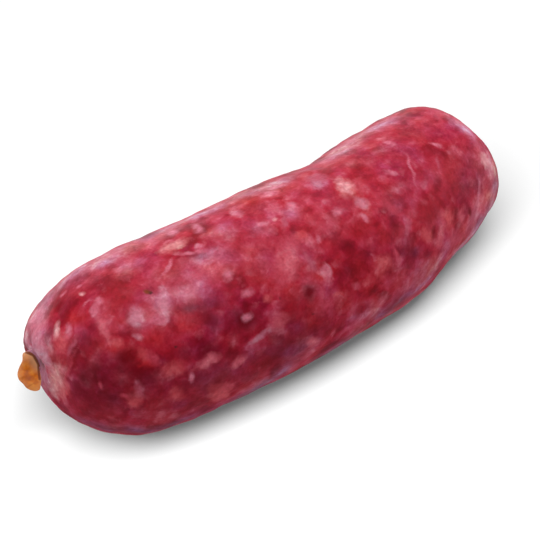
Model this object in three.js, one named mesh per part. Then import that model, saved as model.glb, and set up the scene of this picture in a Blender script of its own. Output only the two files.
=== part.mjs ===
// A raw cooking sausage: coarse minced meat and fat in a natural casing, about 176 mm long and 58 mm thick.
// It lies on its side, slightly bent, and rests on a narrow strip that its own weight has flattened.
// At each end the casing is drawn together and ends in a short, dried, folded tail.
//
// Millimetres, +Z up. +X runs along the sausage from the front end to the back end, and the middle of the
// bend points to -Y. The origin is on the ground, below the middle of the whole object.

import * as THREE from 'three';

// ---------------------------------------------------------------- driving dimensions

const LENGTH = 176;                                    // along the centreline, from pole to pole
const RADIUS = { front: 25.9, middle: 29.3, back: 24 };
const BEND = 32;                                       // degrees that the centreline turns over its length
const SETTLED = 1.4;                                   // how far the round underside is pressed flat

// Each end closes over `length`, and a higher `power` makes it blunter. Its middle lies `aside` to +Y of the
// centreline and is `raised`. The casing is tied away from that middle, by `tied`, in a dimple that is `deep`
// and about `wide` in radius.
const FRONT_END = {
  length: 34, power: 2.65, aside: 7.5, raised: 2.3,
  tied: { aside: -6.5, raised: 2.8 }, dimple: { deep: 2.2, wide: 5 },
};
const BACK_END = {
  length: 15.6, power: 2.3, aside: 2.8, raised: 0,
  tied: { aside: 3, raised: -2 }, dimple: { deep: 2, wide: 5 },
};
const TIE_POWER = 14;                                  // how closely the tie's offset keeps to the pole

// Where the filling swells (+) or the casing draws in (-): place along the centreline from its middle,
// place around it in degrees from +Y over the top, how far it spreads each way, and its height.
const SWELLINGS = [
  { along: -82, around: 70, spread: 8, turn: 40, height: -4.6 },
  { along: 26, around: 40, spread: 14, turn: 50, height: -2.1 },
  { along: 34, around: 220, spread: 12, turn: 50, height: 1.1 },
  { along: 54, around: 220, spread: 10, turn: 50, height: -1.4 },
  { along: 74, around: 220, spread: 10, turn: 50, height: -3.4 },
];

// The tails leave the poles straight on and droop as they reach out. Their flat width is rolled by `roll`
// degrees, from level and towards +Y, and it is `rootWidth` in the dimple and `width` further out.
const FRONT_TAIL = { reach: 7, droop: 2.6, rootWidth: 3, width: 12, thickness: 2.2, roll: 47 };
const BACK_TAIL = { reach: 5, droop: 1.5, rootWidth: 3, width: 8.5, thickness: 2.4, roll: 118 };
const TAIL_GAP = 0.3;                                  // the tails stand this far off the filled casing
const TAIL_WIDE_FROM = 0.45;                           // share of its path where a tail has its full width
const TAIL_ROUND_FROM = 0.3;                           // share of its path where its edge starts to round in
const TAIL_BLUNTNESS = 2.2;

const RINGS = 68;
const SIDES = 46;
const TAIL_RINGS = 14;
const TAIL_SIDES = 16;

// ---------------------------------------------------------------- helpers

const radians = THREE.MathUtils.degToRad;
const UP = new THREE.Vector3(0, 0, 1);

// Closes a stack of rings, each a list of points, with one point at each end.
function closedLoft(rings, firstPole, lastPole) {
  const sides = rings[0].length;
  const positions = [...rings.flat(), firstPole, lastPole].flatMap((point) => point.toArray());
  const first = rings.length * sides;
  const last = first + 1;
  const index = [];
  for (let side = 0; side < sides; side++) {
    const next = (side + 1) % sides;
    index.push(first, next, side);
    for (let ring = 0; ring < rings.length - 1; ring++) {
      const here = ring * sides;
      const beyond = here + sides;
      index.push(here + side, here + next, beyond + next);
      index.push(here + side, beyond + next, beyond + side);
    }
    const rim = (rings.length - 1) * sides;
    index.push(last, rim + side, rim + next);
  }
  const geometry = new THREE.BufferGeometry();
  geometry.setAttribute('position', new THREE.Float32BufferAttribute(positions, 3));
  geometry.setIndex(index);
  geometry.computeVertexNormals();
  return geometry;
}

// ---------------------------------------------------------------- the filled casing

// What an end does to a ring that lies `fromPole` along the centreline from its pole.
function endAt(end, fromPole) {
  const into = THREE.MathUtils.clamp(1 - fromPole / end.length, 0, 1);
  return {
    closing: Math.sqrt(1 - into ** end.power),
    aside: end.aside * into ** 2 + end.tied.aside * into ** TIE_POWER,
    raised: end.raised * into ** 2 + end.tied.raised * into ** TIE_POWER,
  };
}

function dimpleDepth(end, reach) {
  return end.dimple.deep * Math.exp(-((reach / end.dimple.wide) ** 2));
}

// The centreline is an arc. `share` runs from -1 at the front pole to 1 at the back pole.
function station(share) {
  const along = share * LENGTH / 2;
  const turned = radians(BEND) * share / 2;
  const arcRadius = LENGTH / radians(BEND);
  const front = endAt(FRONT_END, LENGTH / 2 + along);
  const back = endAt(BACK_END, LENGTH / 2 - along);
  const taper = (RADIUS.back - RADIUS.front) / 2;
  const fullness = (RADIUS.back + RADIUS.front) / 2 - RADIUS.middle;
  const radius = RADIUS.middle + taper * share + fullness * share ** 2;
  const forward = new THREE.Vector3(Math.cos(turned), Math.sin(turned), 0);
  const aside = new THREE.Vector3(-forward.y, forward.x, 0);
  const centre = new THREE.Vector3(arcRadius * Math.sin(turned), arcRadius * (1 - Math.cos(turned)), 0);
  centre.addScaledVector(aside, front.aside + back.aside);
  centre.z = radius - SETTLED + front.raised + back.raised;
  return { along, radius, closing: front.closing * back.closing, forward, aside, centre };
}

// The bottom of the dimple at one end, where the casing is tied: -1 is the front end and 1 the back end.
function tiedPoint(end) {
  const { forward, centre } = station(end);
  const deep = dimpleDepth(end < 0 ? FRONT_END : BACK_END, 0);
  return centre.addScaledVector(forward, -end * deep);
}

function swelling(along, around) {
  let height = 0;
  for (const place of SWELLINGS) {
    const apart = THREE.MathUtils.euclideanModulo(around - place.around + 180, 360) - 180;
    const distance = ((along - place.along) / place.spread) ** 2 + (apart / place.turn) ** 2;
    height += place.height * Math.exp(-distance);
  }
  return height;
}

function ringAt(share) {
  const { along, radius, closing, forward, aside, centre } = station(share);
  const ring = [];
  for (let side = 0; side < SIDES; side++) {
    const around = 360 * side / SIDES;
    const reach = (radius + swelling(along, around)) * closing;
    const inward = share < 0 ? dimpleDepth(FRONT_END, reach) : -dimpleDepth(BACK_END, reach);
    const point = centre.clone()
      .addScaledVector(aside, reach * Math.cos(radians(around)))
      .addScaledVector(forward, inward);
    point.z = Math.max(0, centre.z + reach * Math.sin(radians(around)));
    ring.push(point);
  }
  return ring;
}

// The rings lie closer together towards the poles, where the surface turns in fastest.
function sausageGeometry() {
  const rings = [];
  for (let ring = 1; ring < RINGS; ring++) {
    rings.push(ringAt(-Math.cos(Math.PI * ring / RINGS)));
  }
  return closedLoft(rings, tiedPoint(-1), tiedPoint(1));
}

// ---------------------------------------------------------------- the dried casing tails

// A flat lobe of dried casing: it leaves the dimple narrow, widens at once and ends in a rounded edge.
function tailGeometry(end, tail) {
  const root = tiedPoint(end);
  const { forward, aside } = station(end);
  const outward = forward.multiplyScalar(end);
  const across = aside.clone().multiplyScalar(Math.cos(radians(tail.roll)));
  across.addScaledVector(UP, Math.sin(radians(tail.roll)));
  const flatNormal = new THREE.Vector3().crossVectors(outward, across);
  const path = new THREE.QuadraticBezierCurve3(
    root.clone().addScaledVector(outward, TAIL_GAP),
    root.clone().addScaledVector(outward, tail.reach / 2),
    root.clone().addScaledVector(outward, tail.reach).addScaledVector(across, -tail.droop),
  );
  const ringAtShare = (share) => {
    const widening = THREE.MathUtils.smoothstep(share, 0, TAIL_WIDE_FROM);
    const intoEdge = Math.max(0, (share - TAIL_ROUND_FROM) / (1 - TAIL_ROUND_FROM));
    const rounding = Math.sqrt(1 - intoEdge ** TAIL_BLUNTNESS);
    const halfWidth = rounding * THREE.MathUtils.lerp(tail.rootWidth, tail.width, widening) / 2;
    const halfThickness = rounding * tail.thickness / 2;
    return Array.from({ length: TAIL_SIDES }, (_, side) => {
      const angle = 2 * Math.PI * side / TAIL_SIDES;
      return path.getPointAt(share)
        .addScaledVector(across, halfWidth * Math.cos(angle))
        .addScaledVector(flatNormal, halfThickness * Math.sin(angle));
    });
  };
  const rings = Array.from({ length: TAIL_RINGS }, (_, ring) => ringAtShare(ring / TAIL_RINGS));
  return closedLoft(rings, path.getPointAt(0), path.getPointAt(1));
}

// ---------------------------------------------------------------- the object

const meat = new THREE.MeshStandardMaterial({ color: 0x9f3b49, roughness: 0.4, metalness: 0 });
const driedCasing = new THREE.MeshStandardMaterial({ color: 0xc0742e, roughness: 0.5, metalness: 0 });

function named(name, geometry, material) {
  const mesh = new THREE.Mesh(geometry, material.clone());
  mesh.name = name;
  return mesh;
}

const group = new THREE.Group();
group.add(named('sausage_body', sausageGeometry(), meat));
group.add(named('casing_tail_front', tailGeometry(-1, FRONT_TAIL), driedCasing));
group.add(named('casing_tail_back', tailGeometry(1, BACK_TAIL), driedCasing));

// The origin goes below the middle of the whole object.
const middle = new THREE.Box3().setFromObject(group).getCenter(new THREE.Vector3());
group.position.set(-middle.x, -middle.y, 0);

export default group;
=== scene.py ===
"""A raw cooking sausage in a natural casing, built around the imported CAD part.

Lengths are in millimetres until a mesh is made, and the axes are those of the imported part: +Z up, +X along
the sausage from the front end to the back end. `share` runs along the sausage from -1 at the front pole to 1
at the back pole, and `around` turns about it in radians, from +Y over the top.
"""

import math
from collections import namedtuple

import bpy
import numpy as np
from mathutils import Matrix, Vector, noise
from mathutils.bvhtree import BVHTree


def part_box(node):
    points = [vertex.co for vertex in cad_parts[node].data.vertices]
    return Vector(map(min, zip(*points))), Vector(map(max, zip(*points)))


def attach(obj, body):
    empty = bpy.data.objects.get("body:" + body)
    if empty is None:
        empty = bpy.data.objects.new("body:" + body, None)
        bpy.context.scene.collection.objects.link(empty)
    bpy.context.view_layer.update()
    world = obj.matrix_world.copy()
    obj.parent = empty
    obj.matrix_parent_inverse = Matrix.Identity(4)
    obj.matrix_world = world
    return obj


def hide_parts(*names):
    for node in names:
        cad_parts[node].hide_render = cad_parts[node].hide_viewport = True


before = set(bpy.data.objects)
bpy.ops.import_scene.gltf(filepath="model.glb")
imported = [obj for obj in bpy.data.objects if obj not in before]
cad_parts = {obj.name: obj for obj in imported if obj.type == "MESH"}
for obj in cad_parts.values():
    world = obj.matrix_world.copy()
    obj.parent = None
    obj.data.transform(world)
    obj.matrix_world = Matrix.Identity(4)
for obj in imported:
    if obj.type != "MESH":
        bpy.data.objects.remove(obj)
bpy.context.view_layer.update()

MM = 0.001

# ---- driving dimensions, as in the CAD part

LENGTH = 176.0
RADIUS = {"front": 25.9, "middle": 29.3, "back": 24.0}
BEND = math.radians(32)
SETTLED = 1.4

End = namedtuple("End", "length power aside raised tied_aside tied_raised dimple_deep dimple_wide")
FRONT_END = End(34.0, 2.65, 7.5, 2.3, -6.5, 2.8, 2.2, 5.0)
BACK_END = End(15.6, 2.3, 2.8, 0.0, 3.0, -2.0, 2.0, 5.0)
TIE_POWER = 14

Swelling = namedtuple("Swelling", "along around spread turn height")
SWELLINGS = [
    Swelling(-82, 70, 8, 40, -4.6),
    Swelling(26, 40, 14, 50, -2.1),
    Swelling(34, 220, 12, 50, 1.1),
    Swelling(54, 220, 10, 50, -1.4),
    Swelling(74, 220, 10, 50, -3.4),
]

# ---- the fineness of the meshes

RINGS = 356
SIDES = 272
CENTRELINE_STEPS = 6000                # the steps by which the rings are spaced out evenly
TAIL_RINGS = 30
TAIL_SIDES = 128

# ---- the camera

# The photograph is FRAME_SIDE pixels square. The camera looks down on the sausage from its near side. The
# point that it turns about lies LOOK_HEIGHT above the ground below the middle of the bend.
FRAME_SIDE = 540
VIEW_AZIMUTH = math.radians(-38)
VIEW_ELEVATION = math.radians(45)
VIEW_DISTANCE = 500.0
LOOK_HEIGHT = 27.0
FOCAL_PIXELS = 1558.5
LOOKED_AT_PIXEL = (286.15, 272.9)
SENSOR = 36.0


def unit(vector):
    """The vector, brought to length 1."""
    return np.asarray(vector, float) / np.linalg.norm(vector)


BACK = np.array([
    math.sin(VIEW_AZIMUTH) * math.cos(VIEW_ELEVATION),
    -math.cos(VIEW_AZIMUTH) * math.cos(VIEW_ELEVATION),
    math.sin(VIEW_ELEVATION),
])
RIGHT = np.array([math.cos(VIEW_AZIMUTH), math.sin(VIEW_AZIMUTH), 0.0])
UP = np.cross(BACK, RIGHT)

# ---- the form of the filled casing


def end_at(end, from_pole):
    """How far an end closes a ring, and moves it aside and up, at that distance from its pole."""
    into = np.clip(1 - from_pole / end.length, 0, 1)
    closing = np.sqrt(1 - into ** end.power)
    aside = end.aside * into ** 2 + end.tied_aside * into ** TIE_POWER
    raised = end.raised * into ** 2 + end.tied_raised * into ** TIE_POWER
    return closing, aside, raised


def station(share):
    """The ring at each share: its place along the centreline, radius, closing, directions and centre."""
    share = np.asarray(share, float)
    along = share * LENGTH / 2
    turned = BEND * share / 2
    arc_radius = LENGTH / BEND
    front_closing, front_aside, front_raised = end_at(FRONT_END, LENGTH / 2 + along)
    back_closing, back_aside, back_raised = end_at(BACK_END, LENGTH / 2 - along)
    taper = (RADIUS["back"] - RADIUS["front"]) / 2
    fullness = (RADIUS["back"] + RADIUS["front"]) / 2 - RADIUS["middle"]
    radius = RADIUS["middle"] + taper * share + fullness * share ** 2
    level = np.zeros_like(share)
    forward = np.stack([np.cos(turned), np.sin(turned), level], -1)
    aside = np.stack([-np.sin(turned), np.cos(turned), level], -1)
    centre = np.stack([arc_radius * np.sin(turned), arc_radius * (1 - np.cos(turned)), level], -1)
    centre = centre + aside * (front_aside + back_aside)[..., None]
    centre[..., 2] = radius - SETTLED + front_raised + back_raised
    return along, radius, front_closing * back_closing, forward, aside, centre


def swelling(along, around):
    """How far the casing swells out at those places along the centreline and turns about it."""
    height = np.zeros(np.broadcast(along, around).shape)
    for place in SWELLINGS:
        apart = (np.degrees(around) - place.around + 180) % 360 - 180
        distance = ((along - place.along) / place.spread) ** 2 + (apart / place.turn) ** 2
        height += place.height * np.exp(-distance)
    return height


def dimple_depth(end, reach):
    """How deep an end's dimple is at that distance from where the casing is tied."""
    return end.dimple_deep * np.exp(-(reach / end.dimple_wide) ** 2)


def casing_points(share, around):
    """Points of the casing, before it is pressed flat below, for shares and turns that broadcast."""
    along, radius, closing, forward, aside, centre = station(share)
    reach = (radius + swelling(along, around)) * closing
    inward = np.where(share < 0, dimple_depth(FRONT_END, reach), -dimple_depth(BACK_END, reach))
    points = centre + aside * (reach * np.cos(around))[..., None] + forward * inward[..., None]
    points[..., 2] = centre[..., 2] + reach * np.sin(around)
    return points


def tied_point(end):
    """The bottom of the dimple where the casing is tied: -1 is the front end and 1 the back end."""
    _, _, _, forward, _, centre = station(end)
    deep = FRONT_END.dimple_deep if end < 0 else BACK_END.dimple_deep
    return centre - end * deep * forward


# ---- scene objects


def mesh_object(name, points, faces):
    """A smooth mesh object of that name, from points in millimetres."""
    mesh = bpy.data.meshes.new(name)
    mesh.from_pydata((np.asarray(points) * MM).tolist(), [], faces)
    mesh.shade_smooth()
    piece = bpy.data.objects.new(name, mesh)
    bpy.context.scene.collection.objects.link(piece)
    return piece


def add_camera(looked_at):
    """A camera whose frame is the photograph's: it looks along -BACK and sees looked_at at its pixel."""
    data = bpy.data.cameras.new("camera")
    data.sensor_width = SENSOR
    data.lens = FOCAL_PIXELS * SENSOR / FRAME_SIDE
    data.clip_start = 0.01
    camera = bpy.data.objects.new("camera", data)
    bpy.context.scene.collection.objects.link(camera)
    camera.matrix_world = Matrix((
        (RIGHT[0], UP[0], BACK[0], 0),
        (RIGHT[1], UP[1], BACK[1], 0),
        (RIGHT[2], UP[2], BACK[2], 0),
        (0, 0, 0, 1),
    ))
    per_pixel = VIEW_DISTANCE / FOCAL_PIXELS
    place = looked_at + BACK * VIEW_DISTANCE
    place = place - RIGHT * (LOOKED_AT_PIXEL[0] - FRAME_SIDE / 2) * per_pixel
    place = place + UP * (LOOKED_AT_PIXEL[1] - FRAME_SIDE / 2) * per_pixel
    camera.location = Vector(place * MM)
    bpy.context.scene.camera = camera
    return place


# ---- the sausage body


def even_shares(count):
    """Shares of rings that lie evenly along the casing, poles left out."""
    fine = -np.cos(np.linspace(0, math.pi, CENTRELINE_STEPS))
    line = casing_points(fine, np.full_like(fine, math.pi / 2))
    run = np.concatenate([[0], np.cumsum(np.linalg.norm(np.diff(line, axis=0), axis=1))])
    return np.interp(np.linspace(0, run[-1], count + 2)[1:-1], run, fine)


def closed_loft_faces(rings, sides):
    """Faces of a stack of rings whose last two points, in order, close its first and its last ring."""
    first, last = rings * sides, rings * sides + 1
    faces = []
    for side in range(sides):
        following = (side + 1) % sides
        faces.append((first, following, side))
        for ring in range(rings - 1):
            here, beyond = ring * sides, (ring + 1) * sides
            faces.append((here + side, here + following, beyond + following, beyond + side))
        rim = (rings - 1) * sides
        faces.append((last, rim + side, rim + following))
    return faces


LUMPS = [(11.0, 0.35), (5.0, 0.20), (2.2, 0.09)]       # size across and height of the filling's unevenness
FOOT_ROUNDING = 0.6                    # how softly the round side turns into the flattened underside

# Pleats of the casing run together on each tie. They are highest PLEAT_PEAK from it and gone by PLEAT_FAR,
# and sway to and fro about the centreline by PLEAT_SWAY, in radians.
PLEATS = [(9, 0.16, 0.4), (14, 0.16, 2.1), (23, 0.07, 4.0)]    # number around, height and phase
PLEAT_PEAK = 6.0
PLEAT_FAR = 19.0
PLEAT_FADING = 1.5
PLEAT_SWAY = 0.25


def pleats(reach, around):
    """The height of the pleats, at that distance from the centreline and that turn about it."""
    swayed = around + PLEAT_SWAY * np.sin(2 * around + 1)
    folds = sum(height * np.sin(count * swayed + phase) for count, height, phase in PLEATS)
    rising = np.clip(reach / PLEAT_PEAK, 0, 1) ** PLEAT_FADING
    fading = np.clip((PLEAT_FAR - reach) / (PLEAT_FAR - PLEAT_PEAK), 0, 1) ** PLEAT_FADING
    return folds * rising * fading


def lumps(points):
    """The height of the filling's unevenness at each point."""
    heights = np.zeros(len(points))
    for size, height in LUMPS:
        heights += height * np.array([noise.noise(Vector(place)) for place in (points / size).tolist()])
    return heights


def vertex_normals(points, rings, sides):
    """Outward normals of a ring grid, from the differences between its neighbours."""
    grid = points.reshape(rings, sides, 3)
    run_around = np.roll(grid, -1, 1) - np.roll(grid, 1, 1)
    run_along = np.gradient(grid, axis=0)
    normals = np.cross(run_around, run_along)
    return (normals / np.linalg.norm(normals, axis=-1, keepdims=True)).reshape(-1, 3)


def build_body():
    """The casing's points, its faces and how far each point lies from the centreline."""
    shares = even_shares(RINGS)[:, None]
    around = (np.arange(SIDES) * 2 * math.pi / SIDES)[None, :]
    points = casing_points(shares, around).reshape(-1, 3)
    normals = vertex_normals(points, RINGS, SIDES)
    along, radius, closing, _, _, _ = station(shares)
    reach = (radius + swelling(along, around)) * closing
    points = points + normals * (lumps(points) + pleats(reach, around).ravel())[:, None]
    points = np.vstack([points, tied_point(-1), tied_point(1)])
    points[:, 2] = (points[:, 2] + np.sqrt(points[:, 2] ** 2 + FOOT_ROUNDING ** 2)) / 2
    return points, closed_loft_faces(RINGS, SIDES), np.append(reach.ravel(), [0, 0])


def offset_to_frame(points):
    """How far the body's points move over the ground to lie where its node does."""
    low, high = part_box("sausage_body")
    middle = (points.min(0) + points.max(0)) / 2
    node_middle = np.array((low + high) / 2) / MM
    return np.array([*(node_middle - middle)[:2], 0.0])


body_points, body_faces, body_reach = build_body()
to_frame = offset_to_frame(body_points)
body_points = body_points + to_frame
eye = add_camera(to_frame + np.array([0, 0, LOOK_HEIGHT]))

# Slight fullness (+) and hollows (-) of the outline in the photograph: where each is seen in it, x and y in
# pixels, how far it spreads and its height.
BULGES = [
    (29, 330, 9, 0.8), (25, 348, 5, 1.0), (48, 386, 8, -2.9), (40, 362, 6, -1.3),
    (51, 293, 7, -0.7), (120, 249, 13, 1.0), (272, 180, 8, -0.8), (305, 172, 5, 0.3),
    (345, 144, 10, -0.9), (378, 120, 6, 0.4), (440, 110, 6, 0.4), (461, 122, 8, -0.9),
    (484, 214, 6, 0.5), (390, 314, 14, 0.3), (250, 391, 16, -0.3), (70, 413, 8, 0.4),
    (130, 433, 10, -0.3),
]
PASSING_DEPTH = 100.0                  # how far before and beyond the sausage's middle a ray is followed
PASSING_STEPS = 101


def point_seen_at(x, y):
    """Where the ray through that pixel meets the casing, or passes it most closely, and its normal there."""
    ahead = unit(-BACK * FOCAL_PIXELS + RIGHT * (x - FRAME_SIDE / 2) + UP * (FRAME_SIDE / 2 - y))
    place, normal, _, _ = skin.ray_cast(Vector(eye), Vector(ahead))
    if place is None:
        depths = VIEW_DISTANCE + np.linspace(-PASSING_DEPTH, PASSING_DEPTH, PASSING_STEPS)
        passing = [skin.find_nearest(Vector(eye + ahead * depth)) for depth in depths]
        place, normal, _, _ = min(passing, key=lambda found: found[3])
    return np.array(place), np.array(normal)


def add_bulges(points):
    """The points with the bulges added. None of them sinks, but for the last millimetre above the ground."""
    moved = points.copy()
    for x, y, spread, height in BULGES:
        place, normal = point_seen_at(x, y)
        distance = np.linalg.norm(points - place, axis=1) / spread
        moved += (height * np.exp(-distance ** 2))[:, None] * normal
    above = points[:, 2]
    moved[:, 2] = np.maximum(moved[:, 2], above * np.clip(above, 0, 1))
    return moved


skin = BVHTree.FromPolygons(body_points.tolist(), body_faces)
body_points = add_bulges(body_points)
skin = BVHTree.FromPolygons(body_points.tolist(), body_faces)
body = mesh_object("sausage", body_points, body_faces)

# ---- what the photograph shows in the meat, and the sheen and shade painted onto the casing

# Colours of the meat and fat as linear reflectances, and of the painted sheen, highlight and shade.
TINTS = {
    "cream": (0.64, 0.30, 0.32),
    "pink": (0.52, 0.14, 0.20),
    "fat": (0.57, 0.225, 0.225),
    "salmon": (0.48, 0.062, 0.077),
    "rose": (0.40, 0.040, 0.070),
    "scarlet": (0.385, 0.016, 0.024),
    "crimson": (0.29, 0.007, 0.018),
    "maroon": (0.125, 0.0008, 0.005),
    "plum": (0.15, 0.007, 0.026),
    "flesh": (0.32, 0.017, 0.040),
    "wine": (0.20, 0.008, 0.022),
    "grape": (0.24, 0.018, 0.048),
    # dusk and violet are mostly painted shade, along the lower outline
    "dusk": (0.18, 0.036, 0.074),
    "violet": (0.20, 0.068, 0.108),
    # painted sheen: the pale lavender along the outline
    "painted_rim_sheen": (0.46, 0.20, 0.265),
    "blush": (0.51, 0.095, 0.13),
    "mauve": (0.36, 0.066, 0.105),
    "lilac": (0.40, 0.125, 0.185),
    # partly the casing's own milky film, partly painted sheen and highlight
    "milk_and_painted_sheen": (0.52, 0.19, 0.25),
    "rust": (0.17, 0.035, 0.008),
    "pepper": (0.03, 0.010, 0.012),
}

# A mark covers an oval, `length` by `width` in pixels of the photograph, whose long side leans by `lean`
# degrees from level, counter-clockwise. A stain fades out softly and a piece ends in an edge. Where marks
# overlap, the later one covers the earlier one.
# Some marks are painted light: sheen and highlights along the outline and on the upper side, shade along the
# lower side.
Mark = namedtuple("Mark", "x y length width tint lean", defaults=[0])


def mark_list(*rows):
    return [Mark(*row) for row in rows]


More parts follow.
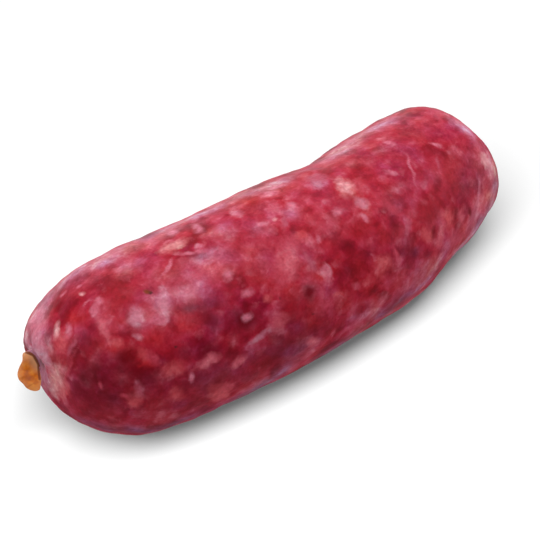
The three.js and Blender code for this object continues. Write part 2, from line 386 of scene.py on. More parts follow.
STAINS_AND_PAINTED_LIGHT = mark_list(
    # painted shade: broad and dark on the lower side
    (115, 400, 130, 54, "wine", 12), (225, 384, 160, 34, "wine", 27),
    # the front end, and the outline behind it
    # the pale bands along that outline are painted sheen, and the dark one at (107, 429) painted shade
    (36, 316, 40, 16, "painted_rim_sheen", 66), (27, 335, 40, 8, "milk_and_painted_sheen", 92), (41, 330, 40, 14, "pink", 80),
    (42, 366, 56, 12, "painted_rim_sheen", 97), (60, 343, 20, 16, "rose", 85), (50, 347, 24, 10, "milk_and_painted_sheen", 100),
    (60, 377, 28, 13, "salmon", 85), (58, 399, 26, 12, "crimson", 150), (78, 400, 26, 30, "crimson"),
    (116, 398, 44, 16, "maroon", 10), (58, 360, 16, 14, "crimson"), (80, 317, 34, 20, "scarlet", 10),
    (102, 322, 40, 14, "rose", 112), (122, 300, 40, 26, "crimson", 30), (88, 341, 32, 20, "wine"),
    (100, 376, 70, 52, "maroon", 20), (140, 372, 50, 34, "maroon"), (112, 345, 22, 18, "scarlet"),
    (78, 290, 40, 24, "crimson", 40), (60, 310, 30, 16, "crimson", 60), (62, 283, 66, 9, "painted_rim_sheen", 44),
    (101, 260, 40, 13, "painted_rim_sheen", 30), (165, 231, 50, 10, "painted_rim_sheen", 27), (198, 222, 26, 14, "rose", 20),
    (118, 252, 60, 12, "milk_and_painted_sheen", 24), (107, 429, 80, 11, "dusk", 168), (106, 321, 44, 20, "rose", 112),
    (125, 326, 36, 12, "rose"), (66, 337, 22, 18, "rose"), (88, 281, 44, 16, "rose", 32),
    (124, 292, 32, 18, "crimson", 30), (89, 374, 28, 30, "maroon"), (71, 382, 28, 11, "flesh", 80),
    (150, 359, 18, 12, "scarlet"), (161, 361, 14, 12, "wine"), (131, 358, 24, 18, "maroon"),
    (145, 345, 22, 12, "crimson"), (26, 342, 22, 7, "cream", 92),
    # the front half, and the outline above the middle
    # pale bands along the upper outline are painted sheen, milky marks on the shoulder partly painted
    # highlight
    (139, 318, 22, 18, "milk_and_painted_sheen", 30), (124, 329, 24, 10, "rose"), (160, 306, 38, 18, "milk_and_painted_sheen", 100),
    (188, 291, 30, 22, "milk_and_painted_sheen", 10), (115, 284, 54, 22, "crimson", 25), (210, 272, 46, 24, "rose", 20),
    (206, 258, 40, 14, "pink", 15), (190, 308, 38, 13, "dusk", 5), (208, 318, 42, 24, "wine", 140),
    (178, 324, 36, 20, "scarlet", 160), (160, 347, 60, 22, "crimson", 10), (160, 337, 30, 18, "scarlet", 10),
    (167, 275, 24, 20, "crimson"), (212, 303, 26, 18, "plum", 20), (218, 231, 24, 12, "pink", 20),
    (170, 274, 26, 20, "flesh", 10), (165, 303, 32, 16, "milk_and_painted_sheen", 100), (166, 277, 40, 16, "mauve", 20),
    (160, 236, 50, 10, "blush", 25), (128, 267, 28, 14, "pink", 25), (256, 208, 26, 18, "rose", 20),
    (215, 270, 44, 18, "blush", 15), (219, 252, 26, 14, "blush", 15), (228, 234, 26, 14, "mauve", 20),
    (160, 320, 22, 12, "pink"), (170, 327, 30, 14, "scarlet"), (185, 354, 22, 14, "wine"),
    (158, 284, 34, 14, "rose", 30), (168, 318, 28, 12, "rose"), (275, 184, 44, 10, "painted_rim_sheen", 25),
    (238, 197, 50, 10, "painted_rim_sheen", 27), (203, 213, 44, 7, "painted_rim_sheen", 26), (122, 321, 18, 14, "scarlet", 20),
    # the middle, and the outline below it
    # the thin dark bands along that outline are painted shade
    (243, 320, 46, 36, "maroon"), (206, 348, 24, 26, "maroon"), (205, 375, 60, 24, "maroon", 25),
    (245, 204, 44, 18, "scarlet", 15), (252, 250, 50, 26, "rose", 20), (288, 266, 44, 28, "rose", 100),
    (302, 236, 22, 18, "scarlet"), (278, 288, 38, 24, "scarlet"), (310, 293, 26, 20, "maroon", 90),
    (290, 346, 80, 28, "maroon", 30), (321, 276, 22, 16, "scarlet"), (354, 266, 36, 24, "maroon", 60),
    (350, 188, 44, 32, "scarlet", 30), (293, 313, 24, 36, "maroon"), (342, 303, 40, 24, "crimson", 20),
    (332, 228, 26, 26, "scarlet"), (295, 247, 24, 18, "rose"), (252, 268, 32, 40, "crimson"),
    (279, 279, 24, 26, "scarlet"), (291, 243, 22, 18, "rose"), (306, 199, 22, 14, "rose"),
    (279, 338, 22, 14, "wine"), (326, 291, 20, 18, "flesh"), (360, 264, 24, 24, "crimson"),
    (216, 372, 46, 24, "grape", 25), (250, 261, 22, 14, "rose"), (290, 286, 22, 16, "scarlet"),
    (262, 269, 26, 18, "flesh"), (208, 394, 60, 12, "wine", 25), (262, 228, 24, 14, "blush", 15),
    (292, 212, 22, 12, "pink"), (311, 264, 14, 22, "mauve"), (318, 310, 22, 20, "rose"),
    (301, 330, 26, 16, "grape", 20), (274, 350, 20, 12, "grape", 25), (292, 190, 26, 12, "rose", 20),
    (270, 194, 20, 8, "blush", 15), (249, 368, 24, 14, "crimson", 25), (322, 306, 30, 14, "rose", 80),
    (385, 268, 26, 16, "rose", 40), (330, 227, 34, 24, "rose"), (347, 201, 28, 16, "crimson"),
    (358, 232, 18, 18, "crimson"), (320, 322, 24, 18, "crimson"), (292, 351, 28, 14, "grape", 30),
    (362, 308, 30, 18, "crimson", 30), (252, 391, 120, 12, "violet", 27), (162, 428, 110, 12, "dusk", 14),
    # the back half
    # pale and lilac bands along its outline are painted sheen, dark ones along its underside painted shade
    (408, 148, 90, 50, "flesh", 30), (455, 165, 60, 60, "flesh"), (322, 166, 40, 10, "rose", 27),
    (318, 182, 22, 14, "mauve"), (371, 130, 70, 12, "mauve", 30), (452, 196, 24, 20, "crimson"),
    (430, 215, 24, 26, "maroon"), (480, 154, 24, 16, "scarlet", 120), (486, 200, 60, 14, "mauve", 65),
    (412, 252, 26, 20, "plum"), (380, 240, 30, 24, "crimson"), (357, 228, 24, 26, "crimson"),
    (455, 238, 30, 20, "rose", 40), (427, 120, 34, 22, "rose"), (412, 132, 30, 20, "rose", 30),
    (344, 150, 44, 12, "milk_and_painted_sheen", 38), (464, 129, 54, 10, "milk_and_painted_sheen", 140), (432, 108, 34, 8, "crimson", 175),
    (345, 146, 50, 8, "painted_rim_sheen", 36), (374, 128, 50, 8, "painted_rim_sheen", 30), (481, 161, 28, 20, "salmon", 110),
    (492, 176, 60, 10, "blush", 95), (479, 210, 60, 20, "blush", 66), (456, 254, 64, 9, "painted_rim_sheen", 48),
    (422, 272, 50, 16, "mauve", 45), (492, 202, 40, 9, "painted_rim_sheen", 78), (398, 303, 70, 12, "dusk", 36),
    (337, 347, 100, 12, "violet", 32), (400, 276, 30, 14, "rose", 40), (431, 273, 56, 10, "lilac", 48),
    (391, 203, 38, 24, "rose"), (436, 227, 24, 22, "crimson"), (384, 266, 28, 20, "scarlet"),
    (405, 238, 24, 26, "rose"), (433, 176, 24, 18, "rose"), (465, 139, 24, 16, "flesh", 130),
    (342, 162, 20, 12, "rose", 30), (365, 161, 20, 14, "flesh", 20), (328, 193, 26, 14, "flesh", 20),
    (465, 195, 18, 20, "flesh"), (440, 224, 18, 14, "rose"), (351, 163, 14, 10, "blush", 20),
    (367, 159, 18, 12, "crimson", 20), (381, 150, 20, 10, "mauve", 20), (398, 188, 20, 12, "mauve", 20),
    (493, 168, 26, 9, "cream", 105), (478, 226, 26, 6, "painted_rim_sheen", 60), (435, 231, 14, 14, "crimson"),
)
PIECES = mark_list(
    # the front end
    # the pale pieces at (38, 316), (44, 358) and (45, 370) are painted sheen along the outline
    (38, 316, 34, 13, "milk_and_painted_sheen", 66), (36, 332, 30, 10, "pink", 95), (44, 358, 34, 9, "painted_rim_sheen", 104),
    (45, 370, 42, 9, "painted_rim_sheen", 98), (57, 329, 14, 5, "cream", 78), (61, 344, 14, 13, "salmon"),
    (68, 331, 14, 7, "pink", 75), (71, 350, 17, 5, "mauve", 68), (58, 379, 26, 13, "fat", 85),
    (62, 360, 12, 9, "crimson"), (104, 326, 24, 10, "blush", 112), (66, 390, 16, 7, "salmon", 75),
    (68, 372, 46, 3, "rose", 70), (99, 303, 12, 8, "pink", 60), (93, 312, 8, 8, "pink"),
    # the thin pale pieces at (83, 293) and (64, 293) are painted glints on the casing's wrinkles
    (119, 342, 9, 9, "salmon"), (138, 337, 9, 8, "milk_and_painted_sheen", 130), (83, 293, 7, 2.5, "cream", 5),
    (79, 287, 4, 3, "pink"), (86, 303, 9, 3, "pink", 35), (64, 293, 9, 3, "pink", 40),
    (130, 265, 6, 4, "pink", 5), (100, 385, 5, 7, "rose"), (139, 390, 8, 14, "mauve"),
    (134, 402, 14, 12, "salmon", 60), (124, 396, 8, 6, "rose"),
    # the upper side of the front half
    # the milky pieces at (163, 304) and (134, 317) are partly painted highlight
    (173, 246, 25, 9, "fat", 26), (172, 232, 11, 7, "pink"), (197, 228, 14, 8, "pink", 155),
    (190, 252, 22, 3.5, "pink", 6), (199, 246, 7, 5, "pink"), (167, 267, 17, 4, "pink", 60),
    (212, 261, 12, 4, "pink", 20), (228, 275, 9, 12, "pink"), (187, 293, 16, 11, "pink", 20),
    (197, 287, 11, 4, "pink", 85), (163, 304, 25, 9, "milk_and_painted_sheen", 100), (161, 319, 10, 8, "pink"),
    (134, 317, 17, 12, "milk_and_painted_sheen", 30),
    # the lower side of the front half
    (248, 293, 10, 8, "pink"), (247, 317, 9, 9, "pink"), (213, 357, 12, 8, "blush", 10),
    (206, 364, 16, 8, "blush", 15), (145, 362, 18, 12, "scarlet"), (143, 354, 10, 7, "salmon", 145),
    (174, 369, 21, 14, "salmon", 20), (153, 358, 12, 8, "rose", 140), (177, 395, 13, 12, "salmon"),
    (228, 387, 14, 8, "rose", 30), (192, 378, 6, 9, "pink"), (238, 362, 14, 7, "blush", 35),
    (219, 394, 18, 14, "salmon", 30), (261, 337, 27, 5, "lilac", 36),
    # the middle
    (269, 193, 14, 4.5, "pink", 5), (276, 187, 20, 2.5, "pink", 10), (237, 213, 10, 7, "pink"),
    (290, 207, 12, 7, "pink", 155), (284, 221, 14, 6, "mauve", 75), (275, 220, 4, 4, "cream"),
    (261, 224, 10, 4, "pink", 170), (313, 178, 15, 9, "mauve"), (323, 177, 13, 6, "mauve"),
    (327, 225, 18, 12, "rose", 20), (280, 279, 18, 22, "rose"), (292, 243, 18, 14, "rose"),
    (345, 186, 19, 13, "cream", 130), (342, 205, 26, 13, "flesh", 20), (317, 185, 9, 9, "lilac"),
    (302, 236, 11, 9, "salmon"), (289, 263, 28, 20, "blush", 100), (292, 309, 22, 22, "crimson"),
    (309, 260, 18, 4, "mauve", 115), (317, 240, 8, 5, "pink", 100), (328, 275, 19, 8, "pink", 115),
    (322, 272, 10, 8, "pink"), (308, 280, 10, 9, "rose"), (322, 294, 22, 4, "rose", 75),
    (327, 304, 13, 7, "rose"), (338, 294, 12, 4, "salmon", 5), (268, 298, 8, 8, "salmon"),
    (278, 321, 15, 12, "blush", 30), (313, 342, 10, 9, "blush"), (338, 213, 8, 8, "pink"),
    (364, 204, 13, 10, "milk_and_painted_sheen", 125), (365, 219, 9, 5, "pink", 150), (356, 286, 8, 8, "rose"),
    (354, 310, 17, 4, "rose", 66),
    # the back half
    (428, 212, 22, 16, "crimson"), (486, 161, 17, 9, "cream", 120), (411, 168, 32, 3, "pink", 112),
    (437, 163, 10, 3, "mauve", 100), (436, 145, 12, 4, "pink", 165), (391, 172, 12, 5, "pink", 168),
    (390, 143, 12, 5, "pink", 160), (440, 119, 24, 4, "rose", 105), (425, 183, 12, 5, "mauve", 75),
    (448, 218, 19, 12, "salmon", 75), (456, 215, 14, 4, "maroon", 80), (462, 216, 17, 8, "blush", 85),
    (428, 235, 14, 10, "salmon", 100), (434, 232, 12, 4, "maroon", 80), (441, 236, 18, 7, "blush", 85),
    (457, 240, 16, 13, "rose", 45), (479, 194, 25, 4, "pink", 85), (474, 214, 22, 4, "mauve", 80),
    (470, 212, 15, 3.5, "maroon", 95), (408, 229, 18, 6, "mauve", 80), (383, 265, 18, 12, "salmon", 60),
    (397, 255, 14, 5, "rose", 112), (424, 272, 20, 4, "mauve", 72), (411, 280, 16, 4, "rose", 75),
    (369, 243, 8, 6, "rose"), (391, 207, 24, 8, "rose", 150),
)
SPECKS = mark_list(
    (147, 292, 7, 4, "rust", 165), (151, 293, 3, 3, "pepper"), (176, 347, 3, 3, "pepper"),
    (280, 298, 2.5, 2.5, "pepper"), (313, 314, 2.5, 2.5, "pepper"),
)
LEAST_FACING = 0.4                     # a mark near the outline isn't drawn out beyond 1 / LEAST_FACING
STAIN_STRENGTH = 0.93
STAIN_NARROWING = 1.15                 # how much sooner than a plain bell curve a stain fades
PIECE_SOFTNESS = 0.95                  # share of its radius over which a piece fades, each way
LEAST_SHARE = 1e-4                     # a smaller share of the marks' colour isn't divided by
RAGGED = [(4.5, 1.0), (2.0, 0.4)]      # size across and reach of the unevenness of the marks' outlines
RAGGED_SEED = 1                        # so that the outlines come out the same each time


def oval_distance(mark, points):
    """For each point, how far it lies from the middle of the mark, in radii of the mark."""
    place, normal = point_seen_at(mark.x, mark.y)
    scale = FOCAL_PIXELS / ((eye - place) @ BACK)
    level = unit(np.cross(BACK, normal))
    slope = np.cross(normal, level)
    facing = max(normal @ BACK, LEAST_FACING)
    seen_slope = np.cross(BACK, level)
    apart = points - place
    along_level = apart @ level
    along_slope = (apart @ slope) * facing
    seen_x = along_level * (level @ RIGHT) + along_slope * (seen_slope @ RIGHT)
    seen_y = along_level * (level @ UP) + along_slope * (seen_slope @ UP)
    lean = math.radians(mark.lean)
    run = (seen_x * math.cos(lean) + seen_y * math.sin(lean)) * scale / (mark.length / 2)
    rise = (seen_y * math.cos(lean) - seen_x * math.sin(lean)) * scale / (mark.width / 2)
    depth = (apart @ normal) * scale / max(mark.length, mark.width)
    return np.sqrt(run ** 2 + rise ** 2 + depth ** 2)


def ragged(points):
    """The points, moved a little to and fro, which makes the marks' outlines irregular."""
    noise.seed_set(RAGGED_SEED)
    wander = np.zeros((len(points), 3))
    for size, reach in RAGGED:
        scaled = (points / size).tolist()
        wander += reach * np.array([noise.noise_vector(Vector(place)) for place in scaled])
    return points + wander


def paint_marks(piece, name, marks, share_of, points):
    """Stores on each vertex the marks' colour there and, as its alpha, how much of it there is."""
    colours = np.zeros((len(points), 4))
    for mark in marks:
        share = share_of(oval_distance(mark, points))[:, None]
        before = colours[:, 3:]
        total = share + before * (1 - share)
        mixed = share * TINTS[mark.tint] + colours[:, :3] * before * (1 - share)
        divided = mixed / np.maximum(total, LEAST_SHARE)
        colours[:, :3] = np.where(total > LEAST_SHARE, divided, TINTS[mark.tint])
        colours[:, 3:] = total
    stored = piece.data.attributes.new(name, "FLOAT_COLOR", "POINT")
    stored.data.foreach_set("color", colours.astype(np.float32).ravel())


def store_values(piece, name, values):
    """Stores one number on each vertex."""
    stored = piece.data.attributes.new(name, "FLOAT", "POINT")
    stored.data.foreach_set("value", np.asarray(values, np.float32))


def stain_share(distance):
    """How much of a stain there is at that distance, in radii, from its middle."""
    return STAIN_STRENGTH * np.exp(-(STAIN_NARROWING * distance) ** 2)


def piece_share(distance):
    """How much of a piece there is at that distance, in radii, from its middle."""
    return np.clip(0.5 + (1 - distance) / (2 * PIECE_SOFTNESS), 0, 1)


ragged_points = ragged(body_points)
paint_marks(body, "stain_and_painted_light", STAINS_AND_PAINTED_LIGHT, stain_share, ragged_points)
paint_marks(body, "piece", PIECES, piece_share, ragged_points)
paint_marks(body, "speck", SPECKS, piece_share, body_points)
store_values(body, "reach", body_reach)

# ---- materials


class Shader:
    """A material under construction. Its methods add nodes and return output sockets."""

    def __init__(self, name):
        self.material = bpy.data.materials.new(name)
        self.material.use_nodes = True
        self.tree = self.material.node_tree
        self.tree.nodes.clear()
        self.surface = self.tree.nodes.new("ShaderNodeBsdfPrincipled")
        output = self.tree.nodes.new("ShaderNodeOutputMaterial")
        self.tree.links.new(self.surface.outputs["BSDF"], output.inputs["Surface"])

    def feed(self, socket, value):
        """Links the value to the socket if it is an output, and otherwise sets it there."""
        if isinstance(value, bpy.types.NodeSocket):
            self.tree.links.new(value, socket)
        else:
            socket.default_value = value

    def node(self, kind, inputs, output=0, **settings):
        """Adds a node with those inputs and settings."""
        made = self.tree.nodes.new(kind)
        for setting, value in settings.items():
            setattr(made, setting, value)
        for name, value in inputs.items():
            self.feed(made.inputs[name], value)
        return made.outputs[output]

    def math(self, operation, first, second):
        return self.node("ShaderNodeMath", {0: first, 1: second}, operation=operation)

    def vector_math(self, operation, first, second):
        return self.node("ShaderNodeVectorMath", {0: first, 1: second}, operation=operation)

    def scaled(self, vector, factor):
        return self.node("ShaderNodeVectorMath", {0: vector, "Scale": factor}, operation="SCALE")

    def position(self):
        """The place on the object, in millimetres."""
        place = self.node("ShaderNodeTexCoord", {}, output="Object")
        return self.scaled(place, 1 / MM)

    def noise(self, place, size, detail=2.0, roughness=0.5, output="Fac"):
        """Cloudy noise with patches of about that size, in millimetres."""
        inputs = {"Vector": place, "Scale": 1 / size, "Detail": detail, "Roughness": roughness}
        return self.node("ShaderNodeTexNoise", inputs, output=output)

    def wander(self, place, size, reach):
        """A drift to and fro in patches of that size, by up to half of `reach` each way."""
        drift = self.noise(place, size, output="Color")
        return self.scaled(self.vector_math("SUBTRACT", drift, (0.5, 0.5, 0.5)), reach)

    def cells(self, place, size, output):
        """Grains of about that size: each one's own random colour, or the distance from its middle."""
        return self.node("ShaderNodeTexVoronoi", {"Vector": place, "Scale": 1 / size}, output=output)

    def range(self, value, low, high, to_low=0.0, to_high=1.0, smooth=True):
        """Runs from to_low to to_high as the value runs from low to high, and no further."""
        inputs = {"Value": value, "From Min": low, "From Max": high, "To Min": to_low, "To Max": to_high}
        kind = "SMOOTHSTEP" if smooth else "LINEAR"
        return self.node("ShaderNodeMapRange", inputs, interpolation_type=kind)

    def mix(self, share, first, second, blend="MIX"):
        """The first colour with that share of the second one blended in."""
        made = self.tree.nodes.new("ShaderNodeMix")
        made.data_type = "RGBA"
        made.blend_type = blend
        self.feed(made.inputs[0], share)
        self.feed(made.inputs[6], first)
        self.feed(made.inputs[7], second)
        return made.outputs[2]

    def ramp(self, value, stops):
        """The colour at that value between the stops, each a place and a colour."""
        made = self.tree.nodes.new("ShaderNodeValToRGB")
        self.feed(made.inputs["Fac"], value)
        elements = made.color_ramp.elements
        while len(elements) < len(stops):
            elements.new(0.5)
        for element, (place, colour) in zip(elements, stops):
            element.position = place
            element.color = colour
        return made.outputs["Color"]

    def attribute(self, name, output="Fac"):
        return self.node("ShaderNodeAttribute", {}, output=output, attribute_name=name)

    def bump(self, height, strength, distance):
        inputs = {"Height": height, "Strength": strength, "Distance": distance}
        return self.node("ShaderNodeBump", inputs)

    def finish(self, uniform, **varying):
        """Sets what is the same all over on the surface's own sockets, and links what varies."""
        for name, value in uniform.items():
            self.surface.inputs[name].default_value = value
        for name, output in varying.items():
            self.tree.links.new(output, self.surface.inputs[name.replace("_", " ")])
        return self.material


def linear(red, green, blue):
    """The linear colour, with alpha, of an 8-bit sRGB colour."""
    channels = np.array([red, green, blue]) / 255
    low = channels / 12.92
    high = ((channels + 0.055) / 1.055) ** 2.4
    return (*np.where(channels <= 0.04045, low, high).tolist(), 1.0)


# How large the meat's zones, patches, warm places, crumbs, grain and fibres are.
ZONE, PATCH, WARM_PLACE, CRUMB, GRAIN, FIBRE = 24.0, 7.0, 9.0, 3.0, 0.8, 0.9
# Colours from dark lean meat to meat that is full of fat.
MEAT_TONES = [
    (0.24, (0.16, 0.002, 0.011, 1)),
    (0.38, (0.24, 0.004, 0.017, 1)),
    (0.50, (0.33, 0.009, 0.028, 1)),
    (0.62, (0.375, 0.022, 0.050, 1)),
    (0.76, (0.42, 0.052, 0.090, 1)),
    (0.92, (0.48, 0.105, 0.150, 1)),
]
# The colour is multiplied by these, from warm places to cool ones and from dark crumbs to pale ones.
WARMTHS = [
    (0.30, (1.00, 0.90, 0.72, 1)),
    (0.50, (1.00, 1.00, 1.00, 1)),
    (0.70, (0.92, 1.15, 1.35, 1)),
]
CRUMBS = [
    (0.25, (0.78, 0.42, 0.50, 1)),
    (0.50, (0.98, 0.90, 0.94, 1)),
    (0.75, (1.18, 2.00, 1.75, 1)),
]
# Grains of fat: size across, share of the grains that are fat, largest radius and softness of the edge as
# shares of that size, paleness and colour.
Grains = namedtuple("Grains", "size chance largest softness paleness colour")
FAT_GRAINS = [
    Grains(7.5, 0.42, 0.36, 0.28, 0.70, (0.50, 0.11, 0.155, 1)),
    Grains(4.0, 0.45, 0.34, 0.30, 0.60, (0.49, 0.10, 0.145, 1)),
]
FAT_REDNESS, LEAN_REDNESS = 0.42, 0.22     # the red in a stain where the meat is fatty, and where it is lean
# Within TIE_RADIUS of the tie the casing darkens: partly its own tied brown, partly painted shade in the
# dimple.
TIE_RADIUS = 3.5
TIE_BROWN_AND_SHADE = (0.12, 0.02, 0.012, 1)


def meat_tone(shader, place, patch):
    """Broad zones and the smaller patches in them, from lean meat to fatty meat."""
    zone = shader.noise(place, ZONE, detail=1.0)
    tone = shader.math("ADD", shader.math("MULTIPLY", zone, 0.9), shader.math("MULTIPLY", patch, 1.2))
    return shader.ramp(shader.math("SUBTRACT", tone, 0.55), MEAT_TONES)


def with_stains_and_painted_light(shader, colour, patch):
    """The stains that the photograph shows, with painted sheen and shade, stronger in some patches than in
    others.
    """
    unevenness = shader.range(patch, 0.3, 0.7, 0.6, 1.2)
    share = shader.math("MULTIPLY", unevenness, shader.attribute("stain_and_painted_light", "Alpha"))
    return shader.mix(shader.math("MINIMUM", share, 1.0), colour, shader.attribute("stain_and_painted_light", "Color"))


def with_fat_grains(shader, colour, place):
    """Soft grains of fat, which stay away from where a stain shows lean meat."""
    inputs = {"Color": shader.attribute("stain_and_painted_light", "Color")}
    redness = shader.node("ShaderNodeSeparateColor", inputs, output="Red")
    lean = shader.range(redness, FAT_REDNESS, LEAN_REDNESS)
    lean = shader.math("MULTIPLY", lean, shader.attribute("stain_and_painted_light", "Alpha"))
    marbled = shader.math("SUBTRACT", 1.0, shader.math("MULTIPLY", lean, 0.95))
    for grains in FAT_GRAINS:
        inputs = {"Color": shader.cells(place, grains.size, "Color")}
        kind = shader.node("ShaderNodeSeparateColor", inputs, output="Green")
        least = 1 - grains.chance
        radius = shader.range(kind, least, 1.0, 0.05, grains.largest, smooth=False)
        inside = shader.math("SUBTRACT", radius, shader.cells(place, grains.size, "Distance"))
        fat = shader.range(inside, -grains.softness, grains.softness)
        fat = shader.math("MULTIPLY", fat, shader.range(kind, least, least + 0.05))
        fat = shader.math("MULTIPLY", fat, marbled)
        colour = shader.mix(shader.math("MULTIPLY", fat, grains.paleness), colour, grains.colour)
    return colour


def piece_cover(shader, place):
    """How far the pieces that the photograph shows cover the meat: less at their rough edges."""
    edge = shader.math("SUBTRACT", shader.noise(place, 1.5), 0.5)
    edge = shader.math("ADD", shader.attribute("piece", "Alpha"), shader.math("MULTIPLY", edge, 0.4))
    cover = shader.range(shader.noise(place, 2.4, detail=1.0), 0.3, 0.7, 0.65, 0.92)
    return shader.math("MULTIPLY", shader.range(edge, 0.15, 0.9), cover)


def with_crumb(shader, colour, place, bent, pieces):
    """The crumbly look of mince, weaker on the pieces, and a fine grain on everything."""
    crumbly = shader.math("SUBTRACT", 1.0, shader.math("MULTIPLY", pieces, 0.6))
    crumb = shader.noise(bent, CRUMB, detail=2.5, roughness=0.6)
    colour = shader.mix(crumbly, colour, shader.ramp(crumb, CRUMBS), "MULTIPLY")
    grain = shader.range(shader.noise(place, GRAIN, detail=1.0), 0.3, 0.7, 0.90, 1.10, smooth=False)
    grey = shader.node("ShaderNodeCombineColor", {"Red": grain, "Green": grain, "Blue": grain})
    return shader.mix(1.0, colour, grey, "MULTIPLY")


def meat_material():
    """Coarse meat and fat under a thin, slightly glossy casing with fine fibres along it."""
    shader = Shader("meat_in_casing")
    place = shader.position()
    bent = shader.vector_math("ADD", place, shader.wander(place, 3.2, 3.0))
    shaken = shader.vector_math("ADD", bent, shader.wander(place, 1.3, 1.8))
    patch = shader.noise(bent, PATCH, detail=1.5)
    colour = with_stains_and_painted_light(shader, meat_tone(shader, place, patch), patch)
    warmth = shader.noise(place, WARM_PLACE, detail=1.0)
    colour = shader.mix(1.0, colour, shader.ramp(warmth, WARMTHS), "MULTIPLY")
    colour = with_fat_grains(shader, colour, shaken)
    pieces = piece_cover(shader, place)
    colour = shader.mix(pieces, colour, shader.attribute("piece", "Color"))
    colour = with_crumb(shader, colour, place, bent, pieces)
    specks = shader.range(shader.attribute("speck", "Alpha"), 0.2, 0.8, 0.0, 0.9)
    colour = shader.mix(specks, colour, shader.attribute("speck", "Color"))
    # darker towards the tie: the tied casing's brown and painted shade in the dimple
    tied = shader.range(shader.attribute("reach"), 0.0, TIE_RADIUS, 0.75, 0.0)
    colour = shader.mix(tied, colour, TIE_BROWN_AND_SHADE)
    fibre = shader.noise(shader.vector_math("MULTIPLY", place, (0.25, 1.0, 1.0)), FIBRE)
    return shader.finish({
        "Roughness": 0.5,
        "Specular IOR Level": 0.06,
        "Subsurface Weight": 0.5,
        "Subsurface Radius": (1.0, 0.35, 0.3),
        "Subsurface Scale": 1.4 * MM,
        "Coat Weight": 0.03,
        "Coat Roughness": 0.25,
        "Sheen Weight": 0.03,
        "Sheen Roughness": 0.35,
        "Sheen Tint": (0.85, 0.78, 1.0, 1),
    }, Base_Color=colour, Normal=shader.bump(fibre, 0.4, 0.15 * MM))


# Dried casing, as 8-bit sRGB colours.
BLOTCHES = [
    (0.36, linear(154, 70, 10)),
    (0.50, linear(190, 100, 16)),
    (0.66, linear(202, 126, 46)),
]
PALE_RIM = linear(192, 132, 84)
STREAK = linear(150, 66, 22)
FOLDED_DOUBLE = linear(214, 158, 116)
# The dark brown below is painted shadow along the tied edge and crease, where a tail leaves the filled
# casing.
CREASE_SHADOW = linear(100, 36, 20)
# The pale lavender below is painted sheen, as on the filled casing's outline.
FILLED_CASING_SHEEN = linear(176, 114, 136)


def casing_material():
    """Dried casing: orange, but tan towards its tied edge, with painted shadow in dark brown along its
    crease.

    Where its underside reaches the filled casing it takes on the pale lavender that is painted sheen on that
    casing.
    """
    shader = Shader("dried_casing")
    place = shader.position()
    colour = shader.ramp(shader.noise(place, 3.2), BLOTCHES)
    colour = shader.mix(shader.range(shader.attribute("rim"), 0.6, 1.0, 0.0, 0.5), colour, PALE_RIM)
    streak = shader.noise(shader.vector_math("MULTIPLY", place, (0.6, 2.0, 1.0)), 1.6)
    colour = shader.mix(shader.range(streak, 0.5, 0.75, 0.0, 0.5), colour, STREAK)
    colour = shader.mix(shader.range(shader.attribute("tied"), 0.6, 3.6, 0.62, 0.0), colour, FOLDED_DOUBLE)
    # painted shadow along the tied edge and the crease
    colour = shader.mix(shader.range(shader.attribute("crease"), 0.15, 0.6, 0.9, 0.0), colour, CREASE_SHADOW)
    # painted sheen where the underside reaches the filled casing
    colour = shader.mix(shader.range(shader.attribute("root"), 0.25, 0.6), colour, FILLED_CASING_SHEEN)
    return shader.finish({
        "Roughness": 0.45,
        "Specular IOR Level": 0.2,
        "Subsurface Weight": 0.3,
        "Subsurface Radius": (1.0, 0.45, 0.2),
        "Subsurface Scale": 0.8 * MM,
    }, Base_Color=colour, Normal=shader.bump(streak, 0.3, 0.2 * MM))


body.data.materials.append(meat_material())
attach(body, "root")
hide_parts("sausage_body")

# ---- the dried casing tails

# A tail is a cupped flap at one end of the sausage, -1 at the front. Its outline is a smooth curve through
# points that each give how far they lie out from the tie and across it, in millimetres. Its `middle`, its
# `tied` edge and the `crease` that leads on from that edge are given by such points too. `roll` turns its
# width from level towards +Y. It is `set_back` from the tie, away from the camera, against the casing.
Tail = namedtuple("Tail", "node end roll set_back middle outline tied crease")
FRONT_TAIL = Tail(
    "casing_tail_front", -1, math.radians(47), 2.2, (3.4, -1.2),
    outline=[
        (4.3, 5.4), (5.3, 3.2), (6.6, 1.6), (7.7, -0.2), (7.8, -1.9), (7.0, -3.4), (6.3, -5.0),
        (4.6, -6.3), (3.0, -6.4), (2.3, -5.4), (1.3, -3.0), (0.8, 0.7), (1.7, 3.9),
    ],
    tied=[(3.6, 5.4), (1.7, 3.9), (0.8, 0.7)],
    crease=[(0.8, 0.7), (1.9, -3.4)],
)
BACK_TAIL = Tail(
    "casing_tail_back", 1, math.radians(118), 0.0, (2.4, -0.6),
    outline=[
        (1.6, 3.3), (3.6, 2.9), (4.7, 1.2), (4.4, -0.6), (4.9, -2.6), (3.2, -4.6), (1.2, -4.4),
        (0.2, -2.2), (0.0, 0.6),
    ],
    tied=[(1.2, 3.0), (0.0, 0.6), (0.2, -2.2)],
    crease=[(0.2, -2.2), (1.2, -3.4)],
)
TAIL_CLEARANCE = 0.12                  # how far a tail stays off the filled casing
TAIL_THIN, TAIL_THICK = 0.55, 1.3      # at the rim and at the middle
RIM_ROUNDED, RIM_SHARPNESS = 0.9, 12   # how much of its thickness the rim loses, and how suddenly
RIM_RAISED, RIM_POWER = 0.7, 3         # how high the rim curls up on the side of the tie
RIM_DROPPED = 0.4                      # as a share of that, how far it goes down on the far side
FOLDS = [(5, 0.12, 0.6), (11, 0.04, 2.0)]              # number around, height and phase
FOLD_POWER, FOLD_SWAY = 1.5, 1.2
TAIL_LEAN = 2.6                        # how far a tail comes out of the dimple towards the seen side
TAIL_TILT = 0.35                       # and how much further for each millimetre across
LEAN_WITHIN = 3.0                      # how near the tie it does so
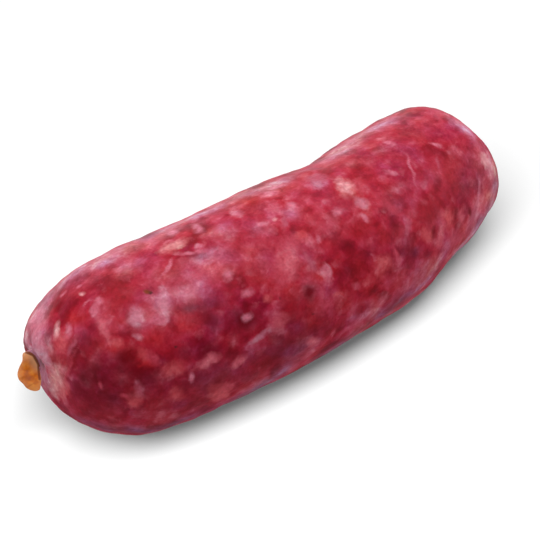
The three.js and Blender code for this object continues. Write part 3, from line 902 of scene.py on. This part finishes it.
ROOT_FULL, ROOT_GONE = 0.5, 0.9        # how near the tied edge a tail's underside reaches for the casing


def smooth_outline(corners, count):
    """That many points on a closed curve that runs smoothly through the corners."""
    corners = np.array(corners, float)
    steps = np.arange(count) * len(corners) / count
    first = steps.astype(int)
    share = (steps - first)[:, None]
    before, here, after, beyond = (corners[(first + shift) % len(corners)] for shift in (-1, 0, 1, 2))
    slope = (after - before) / 2
    turning = before - 2.5 * here + 2 * after - beyond / 2
    twist = (beyond - before) / 2 + 1.5 * (here - after)
    return here + share * slope + share ** 2 * turning + share ** 3 * twist


def distance_to_line(places, corners):
    """How far each place lies from the line through the corners."""
    distance = np.full(len(places), np.inf)
    for first, last in zip(np.array(corners[:-1]), np.array(corners[1:])):
        run = last - first
        share = np.clip((places - first) @ run / (run @ run), 0, 1)
        distance = np.minimum(distance, np.linalg.norm(places - first - share[:, None] * run, axis=1))
    return distance


def tail_axes(tail):
    """The directions out of the sausage's end, across the tail and towards the side of it that is seen."""
    _, _, _, forward, aside, _ = station(tail.end)
    outward = forward * tail.end
    across = aside * math.cos(tail.roll) + np.array([0, 0, math.sin(tail.roll)])
    return outward, across, unit(np.cross(outward, across)) * tail.end


def tail_sheet(tail):
    """The tail's points in its own plane, ring after ring and then its middle.

    It also gives each point's share of the way to the rim, its rise from that plane and half its thickness.
    """
    middle = np.array(tail.middle)
    edge = smooth_outline(tail.outline, TAIL_SIDES) - middle
    rings = np.sin(np.linspace(0, math.pi / 2, TAIL_RINGS + 1))[1:]
    shares, turns = np.meshgrid(rings, np.arctan2(edge[:, 1], edge[:, 0]), indexing="ij")
    rise = RIM_RAISED * shares ** RIM_POWER * np.clip(-np.cos(turns), -RIM_DROPPED, 1)
    for count, height, phase in FOLDS:
        swayed = count * turns + phase + FOLD_SWAY * np.sin(turns)
        rise = rise + height * shares ** FOLD_POWER * np.sin(swayed)
    thickness = TAIL_THICK + (TAIL_THIN - TAIL_THICK) * shares
    half = thickness / 2 * np.sqrt(1 - RIM_ROUNDED * shares ** RIM_SHARPNESS)
    flat = middle + edge * rings[:, None, None]
    flat = np.vstack([flat.reshape(-1, 2), middle])
    lean = TAIL_LEAN + TAIL_TILT * np.maximum(-flat[:, 1], 0)
    out_of_dimple = 1 - np.exp(-(np.linalg.norm(flat, axis=1) / LEAN_WITHIN) ** 2)
    rise = np.append(rise.ravel(), 0) + lean * out_of_dimple
    return flat, np.append(shares.ravel(), 0), rise, np.append(half.ravel(), TAIL_THICK / 2)


def kept_off_casing(centres, rooms):
    """The centres, moved out to where each has its room between it and the filled casing."""
    kept = centres.copy()
    for index, room in enumerate(rooms):
        centre = Vector(centres[index])
        place, normal, _, _ = skin.find_nearest(centre)
        if (centre - place).dot(normal) < room:
            kept[index] = place + normal * room
    return kept


def reached_for_casing(points, shares):
    """The points, each moved by its share of the way to the filled casing."""
    moved = points.copy()
    for index, share in enumerate(shares):
        place, normal, _, _ = skin.find_nearest(Vector(points[index]))
        moved[index] += share * (np.array(place + normal * TAIL_CLEARANCE) - points[index])
    return moved


def build_tail(tail):
    """The points of the seen sheet and of the one under it, and values for the dried casing's colours."""
    outward, across, seen_side = tail_axes(tail)
    root = tied_point(tail.end) + to_frame - BACK * tail.set_back
    flat, shares, rise, half = tail_sheet(tail)
    centres = root + flat[:, :1] * outward + flat[:, 1:] * across + rise[:, None] * seen_side
    centres = kept_off_casing(centres, half + TAIL_CLEARANCE)
    from_tied = distance_to_line(flat, tail.tied)
    from_crease = np.minimum(from_tied, distance_to_line(flat, tail.crease))
    rooted = np.clip((ROOT_GONE - from_tied) / (ROOT_GONE - ROOT_FULL), 0, 1)
    upper = centres + seen_side * half[:, None]
    lower = reached_for_casing(centres - seen_side * half[:, None], rooted)
    values = {
        "rim": np.tile(shares, 2),
        "tied": np.tile(from_tied, 2),
        "crease": np.tile(from_crease, 2),
        "root": np.append(np.zeros_like(rooted), rooted),
    }
    return np.vstack([upper, lower]), values


def tail_faces():
    """Two fans of rings, the upper one and the lower one turned over, joined along their outermost rings."""
    size = TAIL_RINGS * TAIL_SIDES + 1
    faces = []
    for side in range(TAIL_SIDES):
        following = (side + 1) % TAIL_SIDES
        faces.append((size - 1, side, following))
        faces.append((2 * size - 1, size + following, size + side))
        for ring in range(TAIL_RINGS - 1):
            here, beyond = ring * TAIL_SIDES, (ring + 1) * TAIL_SIDES
            faces.append((here + side, beyond + side, beyond + following, here + following))
            faces.append(tuple(size + corner for corner in (
                here + following, beyond + following, beyond + side, here + side)))
        rim = (TAIL_RINGS - 1) * TAIL_SIDES
        faces.append((rim + side, size + rim + side, size + rim + following, rim + following))
    return faces


def add_tail(tail, material):
    points, values = build_tail(tail)
    piece = mesh_object(tail.node.replace("casing_tail", "dried_tail"), points, tail_faces())
    for name, per_point in values.items():
        store_values(piece, name, per_point)
    piece.data.materials.append(material)
    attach(piece, "root")
    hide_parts(tail.node)
    return piece


dried_casing = casing_material()
tails = [add_tail(tail, dried_casing) for tail in (FRONT_TAIL, BACK_TAIL)]

# ---- floor and light

FLOOR_HALF = 2500.0
# A lamp is an oval soft light, `length` the way the sausage lies, that faces `aim`.
Lamp = namedtuple("Lamp", "name place length width radiance aim")
ORIGIN = (0, 0, 0)
FLOOR_LAMPS = [Lamp("floor_key", (-960, -690, 2600), 4000, 1500, 8.2, ORIGIN)]
SAUSAGE_LAMPS = [
    Lamp("ceiling", (60, 120, 900), 1600, 1600, 2.45, ORIGIN),
    Lamp("far_wall", (500, 1200, 300), 1200, 1200, 1.4, ORIGIN),
    Lamp("right_wall", (1050, -400, 400), 1000, 1000, 1.9, ORIGIN),
    Lamp("left_wall", (-1100, 300, 400), 1000, 1000, 1.4, ORIGIN),
    Lamp("table_glow", (100, 1170, 1), 2200, 2200, 0.9, (100, 1170, 100)),
]
WORLD_RADIANCE = 0.13


def floor_material():
    shader = Shader("pale_floor")
    return shader.finish({
        "Base Color": (0.92, 0.92, 0.92, 1),
        "Roughness": 0.9,
        "Specular IOR Level": 0.1,
    })


def add_floor():
    corners = [(x * FLOOR_HALF, y * FLOOR_HALF, 0) for x, y in ((-1, -1), (1, -1), (1, 1), (-1, 1))]
    floor = mesh_object("floor", corners, [(0, 1, 2, 3)])
    floor.data.materials.append(floor_material())
    floor.visible_glossy = False
    return floor


def add_lamp(lamp, receivers):
    """Adds a lamp that lights only the pieces in the collection of receivers."""
    data = bpy.data.lights.new(lamp.name, "AREA")
    data.shape = "ELLIPSE"
    data.size = lamp.length * MM
    data.size_y = lamp.width * MM
    area = math.pi * (data.size / 2) * (data.size_y / 2)
    data.energy = lamp.radiance * math.pi * area
    light = bpy.data.objects.new(lamp.name, data)
    back = (Vector(lamp.place) - Vector(lamp.aim)).normalized()
    along = (Vector((1, 0, 0)) - back * back.x).normalized()
    light.rotation_euler = Matrix((along, back.cross(along), back)).transposed().to_euler()
    light.location = Vector(lamp.place) * MM
    light.visible_camera = False
    light.light_linking.receiver_collection = receivers
    bpy.context.scene.collection.objects.link(light)


def add_world(radiance):
    """An even white light from all around."""
    world = bpy.data.worlds.new("studio")
    world.use_nodes = True
    background = world.node_tree.nodes["Background"]
    background.inputs["Color"].default_value = (1, 1, 1, 1)
    background.inputs["Strength"].default_value = radiance
    bpy.context.scene.world = world


def collection_of(name, pieces):
    """A collection of the pieces that isn't itself part of the scene."""
    collection = bpy.data.collections.new(name)
    for piece in pieces:
        collection.objects.link(piece)
    return collection


# The sausage and the floor are lit by lamps of their own, and the sausage doesn't tint the floor.
for piece in (body, *tails):
    piece.visible_diffuse = False
floor_only = collection_of("floor_only", [add_floor()])
sausage_only = collection_of("sausage_only", [body, *tails])
for lamp in FLOOR_LAMPS:
    add_lamp(lamp, floor_only)
for lamp in SAUSAGE_LAMPS:
    add_lamp(lamp, sausage_only)
add_world(WORLD_RADIANCE)
bpy.context.scene.view_settings.view_transform = "Standard"
